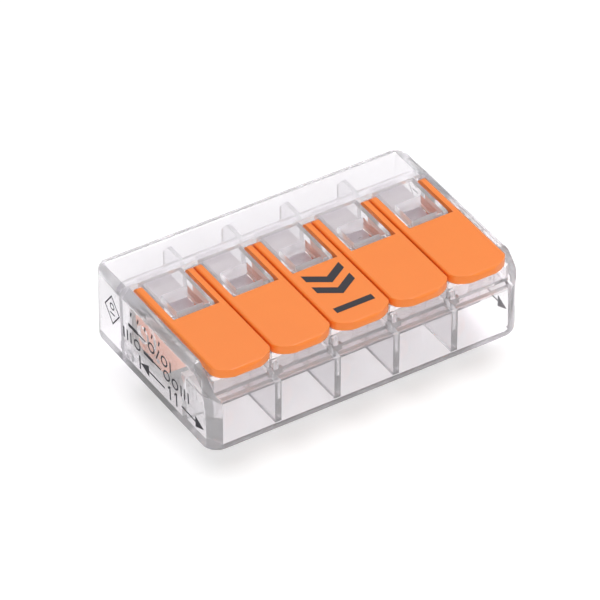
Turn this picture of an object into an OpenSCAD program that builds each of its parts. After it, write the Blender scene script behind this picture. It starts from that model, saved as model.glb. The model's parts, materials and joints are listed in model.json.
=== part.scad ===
// Five-pole lever wire connector: a clear housing and its rear cover, a comb-shaped
// busbar, and for each pole a clamp spring, its clamping tongue and a lever.
// X runs along the row of poles, the wires enter from -Y, and Z is up.
// The origin is the centre of the underside.

/* [Housing] */
// Overall depth from the wire side to the back
body_d = 18.6; // [18.4:0.1:24]
// Height of the clear walls
body_h = 7.7; // [7.6:0.1:9.6]
// Thickness of the two end walls
end_wall = 0.9; // [0.7:0.05:1.6]
// Thickness of the floor
floor_t = 0.8; // [0.6:0.1:1.2]
// Thickness of the cover's top and rear wall
cover_t = 0.6; // [0.5:0.05:0.7]
// Thickness of the walls between poles
partition_t = 0.4; // [0.3:0.05:0.5]
// Radius of the upright corners
corner_r = 1.1; // [0.6:0.1:2]
// Depth of the cover behind the seam
cover_d = 4.6; // [4.4:0.1:5]

/* [Poles] */
// Distance from pole to pole
pitch = 5.6; // [5.4:0.05:7]
// Width of a wire entry
entry_w = 5; // [4.2:0.1:5.1]
// Height of a wire entry
entry_h = 4.15; // [4.1:0.05:4.3]
// Depth of a wire entry, where the insulation stops
entry_d = 4.4; // [4.1:0.1:4.6]
// Diameter of the hole for the bare conductor
conductor_d = 2.9; // [2.4:0.1:3.2]

/* [Lever] */
// Height by which a closed lever stands proud of the walls
lever_proud = 0.25; // [0.2:0.05:0.6]
// Gap between neighbouring levers
lever_gap = 0.16; // [0.1:0.02:0.4]
// Thickness of the lever's pad and arms
pad_t = 0.8; // [0.7:0.05:1]
// Length of the pad in front of the window
pad_l = 8; // [7.2:0.05:8.1]
// Length of the window between the arms
window_l = 5.4; // [4.5:0.1:5.6]
// Width of one arm beside the window
arm_w = 0.58; // [0.5:0.02:0.64]
// Radius of the pad's front corners
pad_corner_r = 1.2; // [0.8:0.1:1.6]
// Thickness of the cheeks below the arms
cheek_t = 0.4; // [0.3:0.05:0.42]
// Radius of the trunnions
trunnion_r = 0.75; // [0.5:0.05:0.8]
// Angle to which a lever opens
open_angle = 90; // [80:1:90]

/* [Metal] */
// Thickness of the busbar
bar_t = 0.6; // [0.5:0.05:0.7]
// Width of one busbar finger
finger_w = 3.8; // [3:0.1:4]
// Thickness of the spring strip
spring_t = 0.35; // [0.25:0.05:0.4]
// Width of the spring's fixed leg
leg_w = 2.4; // [1.8:0.1:2.4]
// Width of the clamping tongue
tongue_w = 3.3; // [2.8:0.1:3.3]
// Angle through which a lever lifts its tongue
tongue_lift = 36; // [30:1:36]

/* [Hidden] */
$fn = 40;

poles = 5;               // NODES names a spring, a tongue and a lever for each
clear_gap = 0.1;         // between a moving lever and the wall beside it
end_gap = 0.05;          // between the outer poles' spaces and the end walls
pin_gap = 0.05;          // running clearance of the trunnions, on the radius
tab_gap = 0.12;          // running clearance of the tabs in their slots, on the radius
sweep_gap = 0.19;        // between the arms' swinging ends and the walls behind them
strip_gap = 0.03;        // between the spring strip and the window block above it
eps = 0.01;              // by which joined shapes run into each other

body_w = poles * pitch + 2 * (end_wall + end_gap);
front = -body_d / 2;
back = body_d / 2;
seam = back - cover_d;
inner_x = body_w / 2 - end_wall;
lever_top = body_h + lever_proud;
cover_under = body_h - cover_t;

// The lever turns about the pivot and the clamping tongue about the bend, both a fixed
// distance behind the wire side, so that the strip length of a wire stays the same
pivot = [front + 10.85, lever_top - 2.85];
bend = [pivot.x - 4.05, pivot.y - 0.225];
bend_r = 0.5;            // radius inside the bend of the strip
boss_r = 1.7;            // radius of the wall round a trunnion
pivot_to_window = 2.75;

bar_top = floor_t + bar_t;
bar_strip = 3;           // depth of the busbar's cross strip
bar_rear = front + 15.65;
spring_top = bend.y + bend_r + spring_t;
strip_top = body_h - 1.2;   // where the strip shows in the test slot

lever_w = pitch - lever_gap;
pad_low = lever_top - pad_t;
pad_bow = 0.9;           // by which the pad's front corners lie behind the middle of its edge
arm_r = 0.65;            // radius of the arms' rear ends
partition_top = pad_low - 0.25;
cheek_out = pitch / 2 - partition_t / 2 - clear_gap;
cheek_in = cheek_out - cheek_t;
window_front = pivot.x - pivot_to_window;
arm_end = window_front + window_l;
pad_front = window_front - pad_l;
roof_z = floor_t + entry_h;
bulkhead = front + entry_d;

// What the arms sweep behind the pivot: their reach less what the round end takes off it
sweep_r = norm([arm_end, lever_top] - pivot) - (sqrt(2) - 1) * arm_r + sweep_gap;
sweep_back = pivot.x + sweep_r;

// The clear block between the arms, and the test slot in it
block_w = 2 * (lever_w / 2 - arm_w - 0.14);
slot_w = 2.5;
slot_l = 2.5;
slot_y = pivot.x - 1.75;
block_r = norm([pivot_to_window, pad_low - pivot.y]) - 0.1;   // inside the pad's swinging edge

trunnion_l = 0.22;       // by which a trunnion stands out of its cheek

// The tongue's free end and the tab that its lever takes hold of, both from the bend
tip = [3.25, bar_top + spring_t / 2 + 0.08 - bend.y];
tab = [2.3, -1.45];
tab_r = 0.18;

function pole_x(i) = (i - (poles + 1) / 2) * pitch;

// Turns a point of the YZ plane about the origin
function turned(p, a) = [p.x * cos(a) - p.y * sin(a), p.x * sin(a) + p.y * cos(a)];

// An outline with a round corner of radius p[2] at each point p
function corner(a, p, b, r) =
    let (u = (a - p) / norm(a - p), v = (b - p) / norm(b - p),
         half = acos(max(-1, min(1, u * v))) / 2,
         middle = p + (u + v) / norm(u + v) * r / sin(half),
         from = atan2((p + u * r / tan(half) - middle).y, (p + u * r / tan(half) - middle).x),
         to = atan2((p + v * r / tan(half) - middle).y, (p + v * r / tan(half) - middle).x),
         sweep = (to - from + 540) % 360 - 180,
         steps = max(2, ceil(abs(sweep) / 15)))
    [for (k = [0:steps]) middle + r * [cos(from + sweep * k / steps), sin(from + sweep * k / steps)]];
function rounded(points) =
    let (n = len(points), flat = [for (p = points) [p.x, p.y]])
    [for (i = [0:n - 1])
        each (points[i][2] == 0 ? [flat[i]]
              : corner(flat[(i + n - 1) % n], flat[i], flat[(i + 1) % n], points[i][2]))];

// Extrudes an outline of the YZ plane along X, centred on x
module slab(x, w) { translate([x - w / 2, 0, 0]) rotate([90, 0, 90]) linear_extrude(w) children(); }
module box(low, high) { translate(low) cube(high - low); }
module rod_x(x, w, p, r) {
    translate([x, p.x, p.y]) rotate([0, 90, 0]) cylinder(h = w, r = r, center = true);
}

// The closed outer form that the housing and the cover share
module envelope() {
    nose = body_h - 2.55;
    draft = 0.19;
    intersection() {
        slab(0, body_w)
            polygon(rounded([[front, 0, 0.4], [front, nose, 0.9], [front + 2.9, body_h, 0.9],
                             [back, body_h, 0.9], [back, 0, 0.5]]));
        translate([0, back, 0]) rotate([90, 0, 0]) linear_extrude(body_d)
            polygon(rounded([[-body_w / 2 + draft, 0, 0.4], [-body_w / 2, body_h, 0.45],
                             [body_w / 2, body_h, 0.45], [body_w / 2 - draft, 0, 0.4]]));
        linear_extrude(body_h)
            polygon(rounded([[-body_w / 2, front, corner_r], [-body_w / 2, back, corner_r],
                             [body_w / 2, back, corner_r], [body_w / 2, front, corner_r]]));
    }
}

// A wall between two poles, cut away where the arms on both sides of it swing
module partition_outline() {
    rear = back - cover_t - 0.25;
    low = floor_t - 0.1;
    difference() {
        polygon([[bulkhead - 0.2, low], [seam, low], [seam, floor_t + 0.05], [rear, floor_t + 0.05],
                 [rear, cover_under - 0.9], [rear - 0.7, cover_under - 0.05],
                 [sweep_back, cover_under - 0.05], [sweep_back, partition_top], [front + 1.6, partition_top],
                 [front + 1.6, roof_z], [bulkhead - 0.2, roof_z]]);
        intersection() {
            translate(pivot) circle(sweep_r, $fn = 64);
            translate([pivot.x, bar_top]) square([2 * sweep_r, body_h]);
        }
        translate([bar_rear - bar_strip - 0.1, 0]) square([bar_strip + 0.7, bar_top + 0.05]);
    }
    translate(pivot) circle(boss_r, $fn = 64);
}

module bearing(x, w) { rod_x(x, w, pivot, trunnion_r + pin_gap); }

module entry(x) {
    box([x - entry_w / 2, front - 1, floor_t], [x + entry_w / 2, bulkhead, roof_z]);
    translate([x, bulkhead, bar_top + conductor_d / 2]) rotate([90, 0, 0])
        cylinder(h = 2, d = conductor_d, center = true);
}

// The clear tongue between the arms of a lever, with the test slot above the spring
module window_block(x) {
    low = strip_top + strip_gap;
    difference() {
        intersection() {
            slab(x, block_w) polygon([[window_front + 0.15, low], [window_front + 0.15, body_h],
                                      [seam - 0.05, body_h], [seam - 0.05, cover_under - 0.05],
                                      [sweep_back + 0.1, cover_under - 0.05], [sweep_back + 0.1, low]]);
            union() {
                rod_x(x, block_w, pivot, block_r);
                box([x - block_w / 2, pivot.x, 0], [x + block_w / 2, back, body_h]);
            }
        }
        box([x - slot_w / 2, slot_y, low - 1], [x + slot_w / 2, slot_y + slot_l, body_h + 1]);
    }
}

// The clear wedge that fills the notch between two lever tips
module nub(x) {
    top = partition_top - 0.2;
    slab(x, 0.5) polygon([[front + 0.25, roof_z - 0.9], [front + 0.45, roof_z + 0.4], [front + 0.7, top],
                          [front + 1.65, top], [front + 1.65, roof_z - 0.4]]);
    slab(x, 1.3) polygon([[front + 0.5, roof_z + 0.1], [front + 0.65, roof_z + 0.9],
                          [front + 1.0, roof_z + 1.1], [front + 1.0, roof_z + 0.1]]);
}

module housing() {
    color([0.9, 0.91, 0.94, 0.35]) difference() {
        union() {
            intersection() {
                envelope();
                union() {
                    box([-body_w, front, 0], [body_w, seam, floor_t]);
                    box([-body_w, front, 0], [-inner_x, seam, body_h]);
                    box([inner_x, front, 0], [body_w, seam, body_h]);
                    box([-body_w, front, 0], [body_w, bulkhead + 0.5, roof_z + 0.4]);
                }
            }
            for (i = [1:poles]) {
                box([pole_x(i) - pitch / 2, front + 0.9, roof_z],
                    [pole_x(i) + pitch / 2, front + 1.6, partition_top]);
                window_block(pole_x(i));
            }
            for (i = [1:poles - 1]) {
                slab(pole_x(i) + pitch / 2, partition_t) partition_outline();
                nub(pole_x(i) + pitch / 2);
            }
            box([-inner_x, sweep_back + 0.05, strip_top + strip_gap],
                [inner_x, sweep_back + 0.6, cover_under - 0.05]);
            for (side = [-1, 1])
                rod_x(side * (inner_x + pole_x(poles) + cheek_out + clear_gap) / 2,
                      inner_x - pole_x(poles) - cheek_out - clear_gap + eps, pivot, boss_r);
        }
        for (i = [1:poles]) entry(pole_x(i));
        box([-inner_x + 0.4, front - 1, floor_t], [inner_x - 0.4, front + 0.25, body_h]);
        box([pole_x(1) - entry_w / 2, front - 1, roof_z + eps],
            [pole_x(poles) + entry_w / 2, front + 0.45, body_h]);
        for (i = [1:poles - 1]) bearing(pole_x(i) + pitch / 2, partition_t + 1);
        for (side = [-1, 1]) bearing(side * (pole_x(poles) + cheek_out + 0.3), 0.5);
        for (side = [-1, 1]) latch(side, 0.05);
    }
}

// The cover's snap hook at each end, and the window in the end wall that it springs into
module latch(side, gap) {
    translate([side * (inner_x + 0.2), seam - 1.1, floor_t + 0.7])
        cube([0.6 + 2 * gap, 0.7 + 2 * gap, 0.6 + 2 * gap], center = true);
}

// A strip of the hook's arm, w thick at x, that reaches from y behind the seam into the cover
module hook_arm(x, w, y) {
    box([x - w / 2, seam + y, floor_t + 0.3], [x + w / 2, seam + 0.6, floor_t + 1.1]);
}

module rear_cover() {
    color([0.88, 0.89, 0.93, 0.4]) union() {
        difference() {
            intersection() {
                envelope();
                box([-body_w, seam, 0], [body_w, back, body_h]);
            }
            box([-inner_x, seam - 1, floor_t], [inner_x, back - cover_t, cover_under]);
        }
        for (side = [-1, 1]) {
            hook_arm(side * (inner_x - 0.3), 0.44, -1.6);
            hook_arm(side * (inner_x - 0.2), 0.5, 0.05);
            latch(side, 0);
        }
    }
}

module busbar() {
    color([0.78, 0.77, 0.8]) union() {
        box([pole_x(1) - finger_w / 2, bar_rear - bar_strip, floor_t],
            [pole_x(poles) + finger_w / 2, bar_rear, bar_top]);
        for (i = [1:poles]) {
            box([pole_x(i) - finger_w / 2, bulkhead + 3.1, floor_t],
                [pole_x(i) + finger_w / 2, bar_rear, bar_top]);
            box([pole_x(i) - leg_w / 2, bar_rear, floor_t],
                [pole_x(i) + leg_w / 2, bar_rear + bar_t, bar_top + 0.8]);
        }
    }
}

// Half of the strip: it stands on the busbar, runs forward under the slot and bends round the tongue
module clamp_spring(i) {
    rear = bar_rear - spring_t;
    color([0.7, 0.7, 0.74]) union() {
        slab(pole_x(i), leg_w) difference() {
            polygon(rounded([[bar_rear, bar_top, 0], [bar_rear, strip_top, 0.8],
                             [bend.x + 1.6, strip_top, 0.5], [bend.x + 0.3, spring_top, 0.5],
                             [bend.x, spring_top, 0], [bend.x, bar_top, 0]]));
            polygon(rounded([[rear, bar_top - 1, 0], [rear, strip_top - spring_t, 0.45],
                             [bend.x + 1.7, strip_top - spring_t, 0.4],
                             [bend.x + 0.4, spring_top - spring_t, 0.4],
                             [bend.x - 1, spring_top - spring_t, 0], [bend.x - 1, bar_top - 1, 0]]));
        }
        slab(pole_x(i), leg_w) difference() {
            translate(bend) circle(bend_r + spring_t);
            translate(bend) circle(bend_r);
            translate(bend) polygon([[0, 2], [0, 0], 2 * [cos(240), sin(240)], [2, -2], [2, 2]]);
        }
    }
}

// The moving half of the strip, with the tabs that its lever takes hold of
module clamp_tongue(i) {
    a = atan2(tip.y, tip.x);
    color([0.66, 0.66, 0.7]) translate([pole_x(i), bend.x, bend.y]) {
        rotate([0, 90, 0]) cylinder(h = leg_w, r = 0.42, center = true);
        slab(0, tongue_w) rotate(a)
            polygon([[0.25, -0.42], [norm(tip), -0.3], [norm(tip) - 0.15, spring_t - 0.3],
                     [0.6, 0.05], [0.2, 0.2]]);
        for (side = [-1, 1]) {
            slab(side * (tongue_w / 2 - 0.15), 0.3)
                polygon([turned([1.5, -0.2], a), turned([2.9, -0.2], a),
                         tab + [0.15, -0.05], tab + [-0.15, 0.12]]);
            rod_x(side * (tongue_w / 2 - 0.3 + cheek_out) / 2, cheek_out - tongue_w / 2 + 0.3, tab, tab_r);
        }
    }
}

// Where a tab lies in the lever's own frame when the lever has turned through a
function tab_in_lever(a) = turned(bend + turned(tab, a * tongue_lift / open_angle) - pivot, a);

// The slot in a cheek, which follows the tab's path with a round end at each end of it
function heading(path, k) =
    let (a = path[max(k - 1, 0)], b = path[min(k + 1, len(path) - 1)]) atan2(b.y - a.y, b.x - a.x);
function half_ring(p, from, r) = [for (a = [from + 20:20:from + 160]) p + r * [cos(a), sin(a)]];
module tab_slot() {
    r = tab_r + tab_gap;
    path = [for (k = [0:3]) tab_in_lever(open_angle * k / 3)];
    last = len(path) - 1;
    aside = [for (k = [0:last]) r * [sin(heading(path, k)), -cos(heading(path, k))]];
    polygon(concat([for (k = [0:last]) path[k] + aside[k]],
                   half_ring(path[last], heading(path, last) - 90, r),
                   [for (k = [last:-1:0]) path[k] - aside[k]],
                   half_ring(path[0], heading(path, 0) + 90, r)));
}

// The top edges that the pad and the arms share, over the stretch from y1 to y2
module top_edges(y1, y2) {
    translate([0, y2, 0]) rotate([90, 0, 0]) linear_extrude(y2 - y1)
        polygon(rounded([[-lever_w / 2, pad_low - 1, 0], [-lever_w / 2, lever_top, 0.22],
                         [lever_w / 2, lever_top, 0.22], [lever_w / 2, pad_low - 1, 0]]));
}

module pad() {
    intersection() {
        slab(0, lever_w)
            polygon(rounded([[pad_front, lever_top, 0.3], [window_front, lever_top, 0],
                             [window_front, pad_low, 0], [pad_front, pad_low, 0.3]]));
        top_edges(pad_front, window_front);
        linear_extrude(lever_top + 1)
            polygon(rounded([[-lever_w / 2, window_front, 0], [lever_w / 2, window_front, 0],
                             [lever_w / 2, pad_front + pad_bow, pad_corner_r],
                             [0.2 * lever_w, pad_front, 3], [-0.2 * lever_w, pad_front, 3],
                             [-lever_w / 2, pad_front + pad_bow, pad_corner_r]]));
    }
}

module arm(side) {
    intersection() {
        slab(side * (lever_w - arm_w) / 2, arm_w)
            polygon(rounded([[window_front - 1, lever_top, 0], [arm_end, lever_top, arm_r],
                             [arm_end, pad_low, 0], [window_front - 1, pad_low, 0]]));
        top_edges(window_front - 1, arm_end);
    }
}

module cheek(side) {
    toe = pivot.y - 2.3;
    slab(side * (cheek_in + cheek_out) / 2, cheek_t) difference() {
        polygon(rounded([[pivot.x - 8.45, pad_low + 0.1, 0], [pivot.x - 7, pad_low - 0.4, 0.3],
                         [pivot.x - 2.75, toe, 0.5], [pivot.x + 0.75, toe, 0.5],
                         [pivot.x + 1.6, pad_low + 0.1, 0]]));
        translate(pivot) tab_slot();
    }
    rod_x(side * (cheek_out + trunnion_l / 2), trunnion_l + 2 * eps, pivot, trunnion_r);
}

module lever(i) {
    color([1, 0.56, 0.3]) translate([pole_x(i), 0, 0]) union() {
        pad();
        for (side = [-1, 1]) {
            arm(side);
            cheek(side);
        }
    }
}

housing();
rear_cover();
busbar();
clamp_spring(1);  // clamp_spring_1
clamp_spring(2);  // clamp_spring_2
clamp_spring(3);  // clamp_spring_3
clamp_spring(4);  // clamp_spring_4
clamp_spring(5);  // clamp_spring_5
clamp_tongue(1);  // clamp_tongue_1
clamp_tongue(2);  // clamp_tongue_2
clamp_tongue(3);  // clamp_tongue_3
clamp_tongue(4);  // clamp_tongue_4
clamp_tongue(5);  // clamp_tongue_5
lever(1);  // lever_1
lever(2);  // lever_2
lever(3);  // lever_3
lever(4);  // lever_4
lever(5);  // lever_5
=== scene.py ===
"""A five-pole lever wire connector: the looks of its clear housing, levers, springs and busbar."""

import json
import math

import bmesh
import bpy
from mathutils import Matrix, Vector


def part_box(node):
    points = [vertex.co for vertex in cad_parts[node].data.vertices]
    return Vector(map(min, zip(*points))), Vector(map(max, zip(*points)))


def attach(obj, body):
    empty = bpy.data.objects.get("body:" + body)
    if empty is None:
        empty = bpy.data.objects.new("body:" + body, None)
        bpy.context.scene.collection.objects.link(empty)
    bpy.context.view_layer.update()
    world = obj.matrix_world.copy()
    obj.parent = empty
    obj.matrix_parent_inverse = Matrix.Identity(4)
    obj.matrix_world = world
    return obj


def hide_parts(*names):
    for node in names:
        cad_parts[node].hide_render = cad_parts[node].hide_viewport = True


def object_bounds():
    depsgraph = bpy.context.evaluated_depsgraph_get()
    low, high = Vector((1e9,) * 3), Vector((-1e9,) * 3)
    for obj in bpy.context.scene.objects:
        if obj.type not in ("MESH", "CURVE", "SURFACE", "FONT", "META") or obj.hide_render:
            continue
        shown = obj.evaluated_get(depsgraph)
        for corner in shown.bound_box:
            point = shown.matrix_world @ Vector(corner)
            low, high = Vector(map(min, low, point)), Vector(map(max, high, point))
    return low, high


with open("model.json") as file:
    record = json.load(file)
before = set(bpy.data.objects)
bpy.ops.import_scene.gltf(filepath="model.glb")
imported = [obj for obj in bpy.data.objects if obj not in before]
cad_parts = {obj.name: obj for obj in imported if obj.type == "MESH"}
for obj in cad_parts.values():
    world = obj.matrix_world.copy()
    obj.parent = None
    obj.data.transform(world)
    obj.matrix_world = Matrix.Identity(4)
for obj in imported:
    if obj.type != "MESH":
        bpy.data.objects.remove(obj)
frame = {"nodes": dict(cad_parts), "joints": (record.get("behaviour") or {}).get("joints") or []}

bl_info = {
    "name": "Lever Wire Connector",
    "version": (1, 0, 0),
    "blender": (4, 5, 0),
    "location": "View3D > Sidebar > Connector",
    "description": "Builds the visible pieces of a lever wire connector round its frame",
    "category": "Object",
}

MM = 0.001
INK = 0.012  # thickness of a print, in millimetres
WALL_GAP = 0.006  # from an end wall to the print on it, in millimetres
LEVER_GAP = 0.004  # from the lever to the print on it, in millimetres
DRAFT = 0.19  # by which the foot of an end wall lies further in than its top, in millimetres
HAIRLINE = 0.02 * MM  # gap in the seam between the housing and the cover
MERGED = 0.002 * MM  # points closer than this become one
TINY = 0.001 * MM  # lengths under this count as none
FLAT = math.radians(0.6)  # faces that meet at a smaller angle become one
SHARP = math.radians(28)  # edges that turn more than this are rounded
CAD_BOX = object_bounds()
LEVERS = [j["child"] for j in frame["joints"] if j["name"].startswith("lever_")]
TONGUES = [n for n in frame["nodes"] if n.startswith("clamp_tongue_")]
SPRINGS = [n for n in frame["nodes"] if n.startswith("clamp_spring_")]
HOUSING_LOW, HOUSING_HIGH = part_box("housing")
COVER_LOW, COVER_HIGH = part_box("rear_cover")
LAMPS = {  # place and width in metres, and power in watts
    "key": ((0.08, 0.10, 0.31), 0.15, 0.50),
    "fill": ((0.22, -0.12, 0.14), 0.20, 0.16),
    "front": ((-0.16, -0.24, 0.13), 0.20, 0.33),
}
BOUNCES = 32  # enough for light to pass all the clear walls
FLOOR_REACH = 1.5  # from the middle of the floor to its edge, in metres
FLOOR_GAP = 0.02 * MM  # from the connector's underside to the floor
FLOOR_GLOW = 0.25  # light that the floor adds where it is seen


# ---------------------------------------------------------------- settings


class ClearPlasticSettings(bpy.types.PropertyGroup):
    tint: bpy.props.FloatVectorProperty(
        name="Tint", description="Colour of the clear plastic", subtype="COLOR",
        size=3, min=0, max=1, default=(0.925, 0.915, 0.93))
    haze: bpy.props.FloatProperty(
        name="Haze", description="Roughness of the polished walls", min=0, max=1, default=0.02)
    veil: bpy.props.FloatProperty(
        name="Veil", description="Share of the light that the plastic scatters",
        min=0, max=1, default=0.17)
    cover_haze: bpy.props.FloatProperty(
        name="Cover haze", description="Roughness of the rear cover", min=0, max=1, default=0.05)
    edge: bpy.props.FloatProperty(
        name="Edge radius", description="Radius of the moulded edges", unit="LENGTH",
        min=0, max=0.0003, default=0.00006)
    corner: bpy.props.FloatProperty(
        name="Corner radius", description="Radius of the upright corners", unit="LENGTH",
        min=0.0008, max=0.002, default=0.0016)
    rim: bpy.props.FloatProperty(
        name="Rim radius", description="Radius of the edges round the top and the bottom",
        unit="LENGTH", min=0.0002, max=0.001, default=0.0007)


class LeverSettings(bpy.types.PropertyGroup):
    colour: bpy.props.FloatVectorProperty(
        name="Colour", description="Colour of the levers", subtype="COLOR",
        size=3, min=0, max=1, default=(1.0, 0.25, 0.034))
    ink: bpy.props.FloatVectorProperty(
        name="Ink", description="Colour of the prints", subtype="COLOR",
        size=3, min=0, max=1, default=(0.018, 0.017, 0.023))
    edge: bpy.props.FloatProperty(
        name="Edge radius", description="Radius of the levers' edges", unit="LENGTH",
        min=0, max=0.0004, default=0.00013)


class MetalSettings(bpy.types.PropertyGroup):
    steel: bpy.props.FloatVectorProperty(
        name="Spring steel", description="Colour of the clamp springs", subtype="COLOR",
        size=3, min=0, max=1, default=(0.50, 0.45, 0.47))
    tin: bpy.props.FloatVectorProperty(
        name="Tinned copper", description="Colour of the busbar", subtype="COLOR",
        size=3, min=0, max=1, default=(0.74, 0.74, 0.73))


class StudioSettings(bpy.types.PropertyGroup):
    azimuth: bpy.props.FloatProperty(
        name="Azimuth", description="Direction that the camera looks from, 0 along +Y",
        subtype="ANGLE", default=math.radians(-32.03))
    elevation: bpy.props.FloatProperty(
        name="Elevation", description="Height of the camera above the horizon",
        subtype="ANGLE", default=math.radians(38.76))
    distance: bpy.props.FloatProperty(
        name="Distance", description="From the camera to the aimed point", unit="LENGTH",
        default=0.43942)
    lens: bpy.props.FloatProperty(
        name="Focal length", description="Focal length in millimetres", default=321.98)
    aim_right: bpy.props.FloatProperty(
        name="Aim right", description="How far right of the origin the camera aims",
        unit="LENGTH", default=-0.000594)
    aim_up: bpy.props.FloatProperty(
        name="Aim up", description="How far above the origin the camera aims",
        unit="LENGTH", default=0.002739)
    surround: bpy.props.FloatProperty(
        name="Surround", description="Strength of the even light from all round",
        min=0, default=0.45)


# ---------------------------------------------------------------- shader maths


class Signal:
    """An output socket that can stand in an expression of numbers."""

    def __init__(self, graph, socket):
        self.graph = graph
        self.socket = socket

    def _math(self, operation, *terms):
        return self.graph.node(
            "ShaderNodeMath", {"operation": operation}, dict(enumerate(terms)))

    def __add__(self, other):
        return self._math("ADD", self, other)

    def __mul__(self, other):
        return self._math("MULTIPLY", self, other)

    __radd__ = __add__
    __rmul__ = __mul__


class Graph:
    """The nodes of a material or of the world."""

    def __init__(self, owner, end="ShaderNodeOutputMaterial"):
        owner.use_nodes = True
        self.owner = owner
        self.tree = owner.node_tree
        self.tree.nodes.clear()
        self.end = self.tree.nodes.new(end)

    def node(self, kind, settings=None, inputs=None, output=0):
        """Adds a node, makes its settings, fills its sockets and gives one of its outputs."""
        made = self.tree.nodes.new(kind)
        for key, value in (settings or {}).items():
            setattr(made, key, value)
        for key, value in (inputs or {}).items():
            if isinstance(value, Signal):
                self.tree.links.new(value.socket, made.inputs[key])
            else:
                made.inputs[key].default_value = value
        return Signal(self, made.outputs[output])

    def place(self, scale):
        """The point on the surface, in the object's own metres, stretched by scale."""
        point = self.node("ShaderNodeTexCoord", output="Object")
        return self.node("ShaderNodeMapping", None, {"Vector": point, "Scale": scale})

    def noise(self, per_metre, detail, roughness=0.5, stretch=(1, 1, 1)):
        """Noise from 0 to 1 with so many blots to the metre."""
        return self.node("ShaderNodeTexNoise", None, {
            "Vector": self.place(stretch), "Scale": per_metre, "Detail": detail,
            "Roughness": roughness})

    def blend(self, factor, first, second):
        """One colour turning into another."""
        return self.node("ShaderNodeMix", {"data_type": "RGBA"}, {
            0: factor, 6: (*first, 1), 7: (*second, 1)}, output=2)

    def bump(self, height, distance, strength):
        """A normal that follows a height, whose full range is a distance in metres."""
        return self.node("ShaderNodeBump", None, {
            "Height": height, "Distance": distance, "Strength": strength})

    def finish(self, shader):
        """Joins the last shader to the output, and gives the finished material or world."""
        self.tree.links.new(shader.socket, self.end.inputs["Surface"])
        return self.owner


def material_graph(name):
    """The empty graph of a new material."""
    return Graph(bpy.data.materials.new(name))


def principled(graph, **inputs):
    """A Principled shader whose sockets are given with _ for each space."""
    named = {key.replace("_", " "): value for key, value in inputs.items()}
    return graph.node("ShaderNodeBsdfPrincipled", None, named)


def clear_plastic(name, tint, haze, veil):
    """Polished clear plastic with faint flow marks, which lets lamps through."""
    graph = material_graph(name)
    flow = graph.noise(260, 3, 0.55, (0.45, 1, 1.6))
    polish = graph.noise(2600, 2)
    glass = principled(
        graph, Base_Color=(*tint, 1), Transmission_Weight=1 - veil, IOR=1.5,
        Roughness=haze + polish * (haze * 0.6),
        Normal=graph.bump(flow + polish * 0.06, 0.00004, 0.35))
    open_way = graph.node("ShaderNodeBsdfTransparent", None, {"Color": (*tint, 1)})
    shadow = graph.node("ShaderNodeLightPath", output="Is Shadow Ray")
    mixed = graph.node("ShaderNodeMixShader", None, {0: shadow, 1: glass, 2: open_way})
    return graph.finish(mixed)


def orange_plastic(name, colour):
    """Satin moulded plastic with a fine grain."""
    graph = material_graph(name)
    cloud = graph.noise(300, 3)
    grain = graph.noise(9000, 2)
    warm = tuple(min(1, c * 1.03) for c in colour)
    cool = tuple(c * 0.955 for c in colour)
    return graph.finish(principled(
        graph, Base_Color=graph.blend(cloud, cool, warm), Roughness=0.27 + grain * 0.12,
        Specular_IOR_Level=0.45, Subsurface_Weight=0.12,
        Subsurface_Radius=(0.0009, 0.0004, 0.0002), Subsurface_Scale=1.0,
        Normal=graph.bump(grain, 0.000004, 0.5)))


def rolled_metal(name, colour, roughness, streaks=(1, 14, 14)):
    """Rolled strip with a mottled sheen, and fine streaks along the axis that isn't squeezed."""
    graph = material_graph(name)
    streak = graph.noise(1600, 3, 0.6, streaks)
    mottle = graph.noise(900, 3)
    dull = tuple(c * 0.82 for c in colour)
    return graph.finish(principled(
        graph, Base_Color=graph.blend(mottle, dull, colour), Metallic=1.0,
        Roughness=roughness + streak * 0.16, Normal=graph.bump(streak, 0.000003, 0.5)))


def ink(name, colour):
    """Matt ink with a slightly uneven cover."""
    graph = material_graph(name)
    cover = graph.noise(7000, 2)
    light = tuple(min(1, c * 1.7 + 0.01) for c in colour)
    return graph.finish(principled(
        graph, Base_Color=graph.blend(cover, colour, light), Roughness=0.6 + cover * 0.1,
        Specular_IOR_Level=0.3))


# ---------------------------------------------------------------- mesh helpers


def whole_faces(bm):
    """Merges a bmesh's doubled points, and its triangles into whole flat faces."""
    bmesh.ops.remove_doubles(bm, verts=bm.verts, dist=MERGED)
    bmesh.ops.dissolve_degenerate(bm, edges=bm.edges, dist=TINY)
    bmesh.ops.dissolve_limit(
        bm, angle_limit=FLAT, verts=bm.verts, edges=bm.edges, use_dissolve_boundaries=False)
    return bm


def cad_copy(node):
    """A bmesh of a CAD node's shape."""
    bm = bmesh.new()
    bm.from_mesh(frame["nodes"][node].data)
    return whole_faces(bm)


def round_off(bm, edges, radius, segments):
    """Rounds a bmesh's edges to a radius, in so many steps."""
    bmesh.ops.bevel(bm, geom=edges, offset=radius, offset_type="OFFSET", affect="EDGES",
                    segments=segments, profile=0.5, material=-1)


def rounded_block(low, high, corner, rim):
    """A block with round upright corners and a round rim at the top and the bottom."""
    bm = bmesh.new()
    bmesh.ops.create_cube(bm, size=1)
    size, middle = high - low, (low + high) / 2
    place = Matrix.Translation(middle) @ Matrix.Diagonal((*size, 1))
    bmesh.ops.transform(bm, matrix=place, verts=bm.verts)
    upright = [e for e in bm.edges if abs(e.verts[0].co.z - e.verts[1].co.z) > size.z / 2]
    round_off(bm, upright, corner, segments=12)
    rims = [e for e in bm.edges
            if any(all(abs(v.co.z - level) < TINY for v in e.verts) for level in (low.z, high.z))]
    round_off(bm, rims, rim, segments=8)
    return bm


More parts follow.
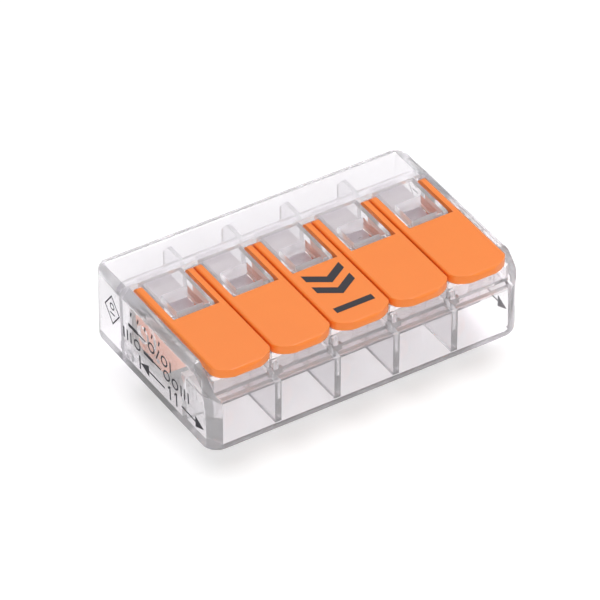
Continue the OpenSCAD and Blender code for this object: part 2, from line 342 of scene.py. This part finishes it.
def within(bm, block):
    """The part of one bmesh that lies inside another."""
    objects = []
    for name, shape in (("shape", bm), ("block", block)):
        mesh = bpy.data.meshes.new(name)
        shape.to_mesh(mesh)
        shape.free()
        objects.append(bpy.data.objects.new(name, mesh))
        bpy.context.scene.collection.objects.link(objects[-1])
    cut = objects[0].modifiers.new("within", "BOOLEAN")
    cut.operation, cut.solver, cut.object = "INTERSECT", "EXACT", objects[1]
    made = bmesh.new()
    made.from_object(objects[0], bpy.context.evaluated_depsgraph_get())
    for old in objects:
        mesh = old.data
        bpy.data.objects.remove(old)
        bpy.data.meshes.remove(mesh)
    return whole_faces(made)


def piece(name, bm, material, body, stands_for=()):
    """Turns a bmesh into a piece that rides on a body and may stand for CAD nodes."""
    mesh = bpy.data.meshes.new(name)
    bm.to_mesh(mesh)
    bm.free()
    made = bpy.data.objects.new(name, mesh)
    bpy.context.scene.collection.objects.link(made)
    mesh.materials.append(material)
    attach(made, body)
    if stands_for:
        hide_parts(*stands_for)
    return made


def soften(made, width):
    """Rounds a piece's sharp edges, and smooths the shading so that flat walls stay flat."""
    bevel = made.modifiers.new("edges", "BEVEL")
    bevel.width, bevel.segments = width, 3
    bevel.limit_method, bevel.angle_limit = "ANGLE", SHARP
    bevel.use_clamp_overlap = True
    for polygon in made.data.polygons:
        polygon.use_smooth = True
    shading = made.modifiers.new("normals", "WEIGHTED_NORMAL")
    shading.mode, shading.weight = "FACE_AREA", 100


# ---------------------------------------------------------------- prints
# Each shape is a list of points (u, v) in millimetres and a list of faces.


def bar(u1, v1, u2, v2, width):
    """A stroke from one point to another."""
    start, end = Vector((u1, v1)), Vector((u2, v2))
    along = (end - start).normalized()
    half = Vector((-along.y, along.x)) * width / 2
    points = [start - half, end - half, end + half, start + half]
    return [tuple(p) for p in points], [(0, 1, 2, 3)]


def arrow(u1, v1, u2, v2, width, head):
    """A stroke that ends in a solid arrow head at its second point."""
    tail, tip = Vector((u1, v1)), Vector((u2, v2))
    along = (tip - tail).normalized()
    aside = Vector((-along.y, along.x))
    neck = tip - along * head
    half, barb = aside * width / 2, aside * head * 0.45
    points = [tail - half, neck - half, neck - barb, tip, neck + barb, neck + half, tail + half]
    return [tuple(p) for p in points], [(0, 1, 5, 6), (2, 3, 4, 5, 1)]


def ring(u, v, radius, width, around=28, tall=1.0):
    """A round outline, or one with as many corners as around says."""
    turns = [2 * math.pi * k / around for k in range(around)]
    points = [(u + r * math.cos(t), v + r * tall * math.sin(t))
              for r in (radius, radius - width) for t in turns]
    following = [(k + 1) % around for k in range(around)]
    return points, [(k, n, around + n, around + k) for k, n in enumerate(following)]


def lozenge(u, v, across, tall, width):
    """A four-sided outline that stands on its corner."""
    return ring(u, v, across / 2, width, around=4, tall=tall / across)


def figure_one(u, v, height, way):
    """The figure 1, on a foot at (u, v); its flag points to lower u, or to higher where way is -1."""
    outline = [(-0.07, 0), (0.07, 0), (0.07, 1), (-0.05, 1), (-0.23, 0.82), (-0.23, 0.66),
               (-0.07, 0.80)]
    points = [(u + way * x * height, v + y * height) for x, y in outline]
    return points, [(0, 1, 2, 6), (2, 3, 4, 5, 6)]


def wire(u, v):
    """The sign of a stripped wire: a thick stretch that is covered, and a thin one that is bare."""
    covered, bare = 1.5, 1.2
    return [bar(u, v, u + covered, v, 0.36), bar(u + covered, v, u + covered + bare, v, 0.15)]


def chevron(u, v, across, thick):
    """A bent bar that points to lower v."""
    half = across / 2
    tip = v - 0.62 * half
    points = [(u - half, v), (u, tip), (u + half, v),
              (u + half, v + thick), (u, tip + thick), (u - half, v + thick)]
    return points, [(0, 1, 4, 5), (1, 2, 3, 4)]


def stamp(name, shapes, lay, material, body):
    """Prints shapes in a thin layer of ink; lay(u, v, w) gives the place at w above the print's face."""
    bm = bmesh.new()
    for points, faces in shapes:
        verts = [bm.verts.new((u, v, 0)) for u, v in points]
        for face in faces:
            bm.faces.new([verts[k] for k in face])
    raised = bmesh.ops.extrude_face_region(bm, geom=bm.faces[:])["geom"]
    tops = [part for part in raised if isinstance(part, bmesh.types.BMVert)]
    bmesh.ops.translate(bm, verts=tops, vec=(0, 0, INK))
    bmesh.ops.recalc_face_normals(bm, faces=bm.faces)
    for v in bm.verts:
        v.co = lay(*v.co)
    if bm.calc_volume(signed=True) < 0:
        bmesh.ops.reverse_faces(bm, faces=bm.faces)
    piece(name, bm, material, body)


# ---------------------------------------------------------------- operators


class CONNECTOR_OT_housing(bpy.types.Operator):
    """Makes the clear housing and its rear cover"""
    bl_idname = "connector.housing"
    bl_label = "Housing"

    def execute(self, context):
        s = context.scene.connector_clear
        wall = clear_plastic("clear_housing", s.tint, s.haze, s.veil)
        shell = within(cad_copy("housing"), self.envelope(s))
        made = piece("housing_shell", shell, wall, "root", ["housing"])
        soften(made, s.edge)
        more = 1.1  # the cover scatters a little more light than the housing
        back = clear_plastic("clear_cover", s.tint, s.cover_haze, more * s.veil)
        shell = within(cad_copy("rear_cover"), self.envelope(s))
        for v in shell.verts:
            if min(abs(v.co.y - COVER_LOW.y), abs(v.co.y - HOUSING_HIGH.y)) < TINY:
                v.co.y += HAIRLINE
        made = piece("rear_cover_shell", shell, back, "root", ["rear_cover"])
        soften(made, s.edge)
        return {"FINISHED"}

    def envelope(self, s):
        """The rounded outer shape that the housing and the cover share."""
        high = Vector((HOUSING_HIGH.x, COVER_HIGH.y, HOUSING_HIGH.z))
        return rounded_block(HOUSING_LOW, high, s.corner, s.rim)


class CONNECTOR_OT_levers(bpy.types.Operator):
    """Makes the five levers"""
    bl_idname = "connector.levers"
    bl_label = "Levers"

    def execute(self, context):
        s = context.scene.connector_lever
        orange = orange_plastic("orange_lever", s.colour)
        for name in LEVERS:
            made = piece(name + "_body", cad_copy(name), orange, name, [name])
            soften(made, s.edge)
        return {"FINISHED"}


class CONNECTOR_OT_prints(bpy.types.Operator):
    """Prints the strip gauge and the plain signs on the end walls and the middle lever"""
    bl_idname = "connector.prints"
    bl_label = "Prints"

    def execute(self, context):
        dark = ink("print", context.scene.connector_lever.ink)
        foot = HOUSING_HIGH.x / MM - DRAFT
        slope = DRAFT * MM / HOUSING_HIGH.z
        for side, label in ((-1, "left"), (1, "right")):
            def on_wall(u, v, w, side=side):
                out = foot + slope * v + WALL_GAP + w
                return Vector((side * out, -u, v)) * MM
            shapes = self.gauge(-side) + self.mark() + self.rows()
            stamp(f"print_{label}", shapes, on_wall, dark, "root")
        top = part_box("lever_3")[1].z / MM

        def on_lever(u, v, w):
            return Vector((u, v, top + LEVER_GAP + w)) * MM
        stamp("print_lever", self.lift(), on_lever, dark, "lever_3")
        return {"FINISHED"}

    # On the end walls, u runs from the back of the connector to its front, and v is the height.

    def gauge(self, way):
        """The strip gauge: a stop line, and two arrows that lead away from its length, 11."""
        arrows = [arrow(2.1, 2.2, -1.65, 2.2, 0.17, 1.3), arrow(4.75, 2.15, 8.15, 2.1, 0.17, 1.3)]
        figures = [figure_one(u, 1.55, 1.4, way) for u in (2.95, 3.95)]
        return [bar(-1.77, 1.5, -1.77, 2.9, 0.2), *arrows, *figures]

    def mark(self):
        """A ring and a bar in a lozenge."""
        middle = -5.98
        return [lozenge(middle, 4.75, 2.4, 3.1, 0.16), ring(middle, 5.1, 0.36, 0.13),
                bar(-6.35, 4.35, -5.6, 4.35, 0.15)]

    def rows(self):
        """Two rows of wires, rings and bars, with a row of short slanted strokes above them."""
        upper, lower, reach = 5.05, 3.75, 0.55
        rings = [(0.2, upper), (2.2, upper), (-2.1, lower), (2.5, lower), (3.8, lower)]
        bars = [(3.15, upper)] + [(u, lower) for u in (-4.2, -3.65, -3.1, 4.75, 5.3, 5.85)]
        shapes = wire(-3.4, upper) + wire(-1.1, lower)
        shapes.append(bar(0.95, upper - reach, 1.45, upper + reach, 0.16))
        shapes += [ring(u, v, 0.52, 0.17) for u, v in rings]
        shapes += [bar(u, v - reach, u, v + reach, 0.18) for u, v in bars]
        return shapes + [bar(u, 6.1, u + 0.15, 6.6, 0.18) for u in (-3.0, -1.9, -0.8, 0.3, 1.4)]

    def lift(self):
        """Two chevrons and a bar, which point to the end of the lever that is lifted."""
        width = 3.6
        chevrons = [chevron(0, v, width, 0.85) for v in (-2.7, -4.35)]
        return chevrons + [bar(-width / 2, -7.05, width / 2, -7.05, 0.65)]


class CONNECTOR_OT_metal(bpy.types.Operator):
    """Finishes the busbar, the clamp springs and their tongues"""
    bl_idname = "connector.metal"
    bl_label = "Metal"

    def execute(self, context):
        s = context.scene.connector_metal
        steel = rolled_metal("spring_steel", s.steel, 0.22)
        tin = rolled_metal("tinned_copper", s.tin, 0.3, (14, 1, 14))
        for name in SPRINGS + TONGUES + ["busbar"]:
            node = frame["nodes"][name]
            node.data.materials.clear()
            node.data.materials.append(tin if name == "busbar" else steel)
        return {"FINISHED"}


class CONNECTOR_OT_stage(bpy.types.Operator):
    """Makes the camera, the pale floor and the studio light"""
    bl_idname = "connector.stage"
    bl_label = "Stage"

    def execute(self, context):
        s = context.scene.connector_studio
        self.camera(context, s)
        self.floor()
        self.world(context, s)
        for name, (place, size, power) in LAMPS.items():
            self.lamp(name, place, size, power)
        context.scene.view_settings.view_transform = "Standard"
        for kind in ("max_bounces", "glossy_bounces", "transmission_bounces", "transparent_max_bounces"):
            setattr(context.scene.cycles, kind, BOUNCES)
        return {"FINISHED"}

    def camera(self, context, s):
        """The camera, on a line through the aimed point that the settings' angles give."""
        flat = math.cos(s.elevation)
        back = Vector((math.sin(s.azimuth) * flat, -math.cos(s.azimuth) * flat,
                       math.sin(s.elevation)))
        right = Vector((0, 0, 1)).cross(back).normalized()
        up = back.cross(right)
        data = bpy.data.cameras.new("camera")
        data.lens, data.sensor_width = s.lens, 36
        data.clip_start, data.clip_end = 0.01, 10
        made = bpy.data.objects.new("camera", data)
        made.location = right * s.aim_right + up * s.aim_up + back * s.distance
        made.rotation_mode = "QUATERNION"
        made.rotation_quaternion = (-back).to_track_quat("-Z", "Y")
        context.scene.collection.objects.link(made)
        context.scene.camera = made

    def floor(self):
        """A pale floor that takes shadows, and glows where it is seen, mirrored or looked through."""
        graph = material_graph("floor")
        glow = graph.node("ShaderNodeLightPath", output="Is Camera Ray")
        for ray in ("Is Glossy Ray", "Is Transmission Ray"):
            glow = glow + graph.node("ShaderNodeLightPath", output=ray)
        paint = graph.node("ShaderNodeBsdfDiffuse", None, {"Color": (0.9, 0.9, 0.9, 1)})
        white = graph.node("ShaderNodeEmission", None, {"Strength": glow * FLOOR_GLOW})
        surface = graph.finish(graph.node("ShaderNodeAddShader", None, {0: paint, 1: white}))
        bm = bmesh.new()
        bmesh.ops.create_grid(bm, x_segments=1, y_segments=1, size=FLOOR_REACH)
        bmesh.ops.translate(bm, verts=bm.verts, vec=(0, 0, CAD_BOX[0].z - FLOOR_GAP))
        mesh = bpy.data.meshes.new("floor")
        bm.to_mesh(mesh)
        bm.free()
        mesh.materials.append(surface)
        made = bpy.data.objects.new("floor", mesh)
        bpy.context.scene.collection.objects.link(made)

    def world(self, context, s):
        """Pale where it is seen, mirrored or looked through, and a dimmer even light otherwise."""
        graph = Graph(bpy.data.worlds.new("studio"), "ShaderNodeOutputWorld")
        seen = graph.node("ShaderNodeLightPath", output="Is Camera Ray")
        for ray in ("Is Glossy Ray", "Is Transmission Ray"):
            other = graph.node("ShaderNodeLightPath", output=ray)
            seen = graph.node("ShaderNodeMath", {"operation": "MAXIMUM"}, {0: seen, 1: other})
        strength = graph.node("ShaderNodeMapRange", None, {"Value": seen, "To Min": s.surround})
        context.scene.world = graph.finish(
            graph.node("ShaderNodeBackground", None, {"Strength": strength}))

    def lamp(self, name, place, size, power):
        """A round soft lamp that faces the connector."""
        data = bpy.data.lights.new(name, "AREA")
        data.shape, data.size, data.energy = "DISK", size, power
        made = bpy.data.objects.new(name, data)
        made.location = place
        made.rotation_mode = "QUATERNION"
        made.rotation_quaternion = (-Vector(place)).to_track_quat("-Z", "Y")
        bpy.context.scene.collection.objects.link(made)


class CONNECTOR_PT_panel(bpy.types.Panel):
    """The connector's settings and pieces"""
    bl_idname = "CONNECTOR_PT_panel"
    bl_label = "Lever Wire Connector"
    bl_space_type = "VIEW_3D"
    bl_region_type = "UI"
    bl_category = "Connector"

    def draw(self, context):
        for group, name in SETTINGS.items():
            column = self.layout.column()
            for key in group.__annotations__:
                column.prop(getattr(context.scene, name), key)
        for operator in OPERATORS:
            self.layout.operator(operator.bl_idname)


SETTINGS = {
    ClearPlasticSettings: "connector_clear",
    LeverSettings: "connector_lever",
    MetalSettings: "connector_metal",
    StudioSettings: "connector_studio",
}
OPERATORS = [CONNECTOR_OT_stage, CONNECTOR_OT_housing, CONNECTOR_OT_levers, CONNECTOR_OT_metal,
             CONNECTOR_OT_prints]


def register():
    for group, name in SETTINGS.items():
        bpy.utils.register_class(group)
        setattr(bpy.types.Scene, name, bpy.props.PointerProperty(type=group))
    for kind in OPERATORS + [CONNECTOR_PT_panel]:
        bpy.utils.register_class(kind)


def unregister():
    for kind in [CONNECTOR_PT_panel] + OPERATORS[::-1]:
        bpy.utils.unregister_class(kind)
    for group, name in SETTINGS.items():
        delattr(bpy.types.Scene, name)
        bpy.utils.unregister_class(group)


def main():
    register()
    bpy.ops.connector.stage()
    bpy.ops.connector.housing()
    bpy.ops.connector.levers()
    bpy.ops.connector.metal()
    bpy.ops.connector.prints()


if __name__ == "__main__":
    main()
